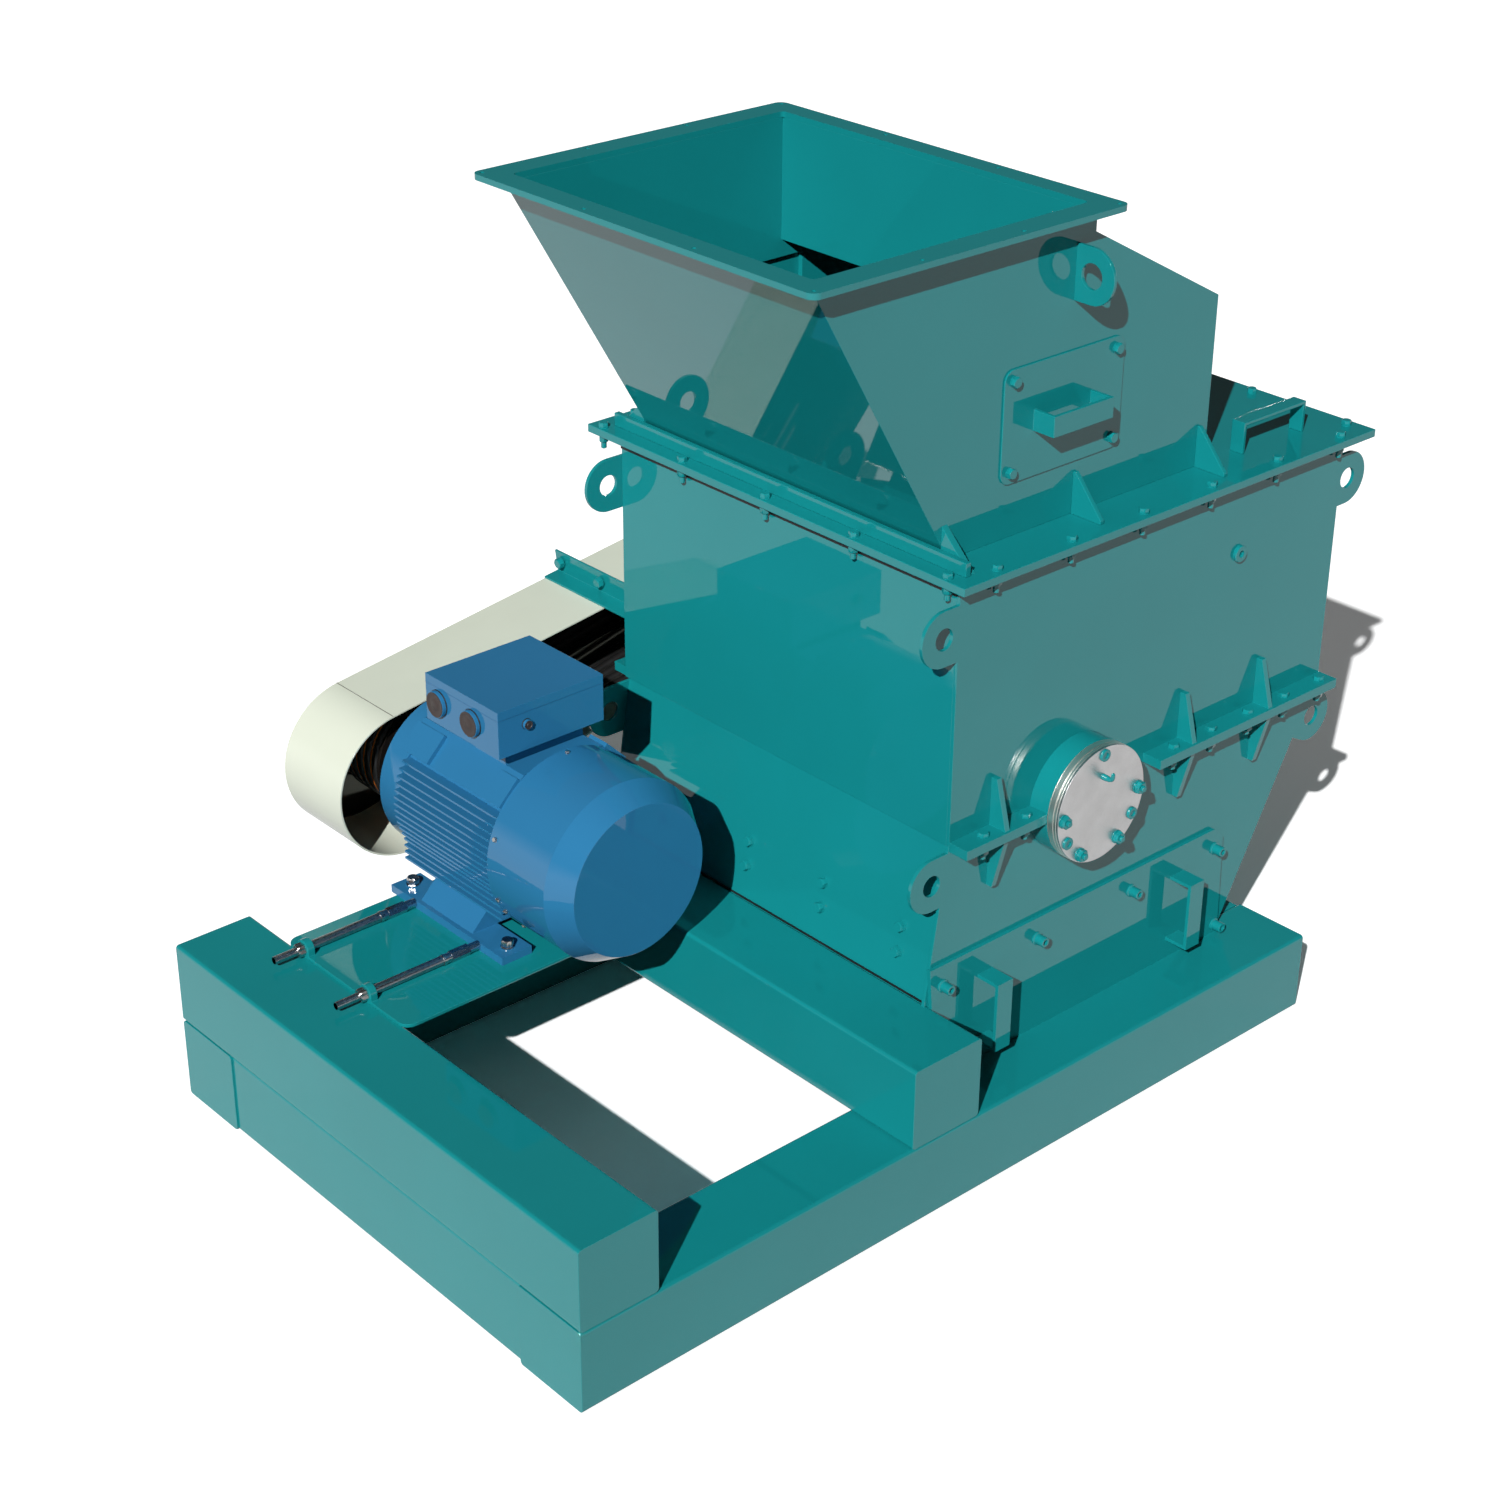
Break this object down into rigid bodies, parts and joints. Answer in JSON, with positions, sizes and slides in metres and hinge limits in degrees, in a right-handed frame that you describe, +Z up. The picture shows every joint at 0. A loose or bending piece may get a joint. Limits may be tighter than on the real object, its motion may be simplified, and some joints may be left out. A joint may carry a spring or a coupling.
{
  "type": "hammer crusher",
  "caption": "Hammer crusher with a sloped feed hopper on a bolted housing, on a box-section base with a foot-mounted motor and a guarded belt drive.",
  "frame": {"origin": "centre of the bounding box, on the floor under the base", "axes": "+X from the motor end towards the crusher's rear, +Y across the machine towards the belt drive, +Z up"},
  "size_m": [3.4258, 2.267, 2.86],
  "materials": {
    "teal_paint": "gloss",
    "blue_paint": "gloss",
    "cream_paint": "satin",
    "orange_paint": "gloss",
    "polished_steel": "polished",
    "dark_steel": "oiled",
    "cast_steel": "rough",
    "belt_rubber": "matte"
  },
  "bodies": {
    "root": {"near_runner": "teal_paint", "far_runner": "teal_paint", "cross_members": "teal_paint", "front_beam": "teal_paint", "middle_beam": "teal_paint", "motor_plate": "teal_paint", "jack_screws": "dark_steel", "motor_frame": "blue_paint", "fan_cover": "blue_paint", "drive_end_shield": "blue_paint", "terminal_box": "blue_paint", "drive_belts": "belt_rubber", "belt_guard": "cream_paint", "guard_bracket": "teal_paint", "near_lower_side": "teal_paint", "far_lower_side": "teal_paint", "lower_front_wall": "teal_paint", "lower_rear_wall": "teal_paint", "near_upper_side": "teal_paint", "far_upper_side": "teal_paint", "upper_front_wall": "teal_paint", "upper_rear_wall": "teal_paint", "near_flange": "teal_paint", "far_flange": "teal_paint", "near_bearing": "polished_steel", "near_bearing_cover": "polished_steel", "far_bearing": "polished_steel", "near_hatch": "teal_paint", "far_hatch": "teal_paint", "lid_plate": "teal_paint", "lid_bar": "teal_paint", "lid_gussets": "teal_paint", "lid_handle": "teal_paint", "hopper_shell": "teal_paint", "hopper_rim": "teal_paint", "hopper_lugs": "teal_paint", "near_door": "teal_paint", "far_door": "teal_paint"},
    "rotor": {"rotor_shaft": "polished_steel", "rotor_discs": "cast_steel", "hammer_pins": "dark_steel", "hammers": "cast_steel", "rotor_pulley": "orange_paint"},
    "motor_rotor": {"motor_shaft": "polished_steel", "drive_pulley": "orange_paint"}
  },
  "joints": [
    {"name": "rotor_spin", "type": "hinge", "parent": "root", "child": "rotor", "pos_m": [0.397, 0, 1.074], "axis": [0, 1, 0], "continuous": true},
    {"name": "motor_spin", "type": "hinge", "parent": "root", "child": "motor_rotor", "pos_m": [-0.728, 0, 0.877], "axis": [0, 1, 0], "continuous": true}
  ],
  "couplings": [
    {"joint": "motor_spin", "follows": "rotor_spin", "ratio": 0.79487}
  ]
}
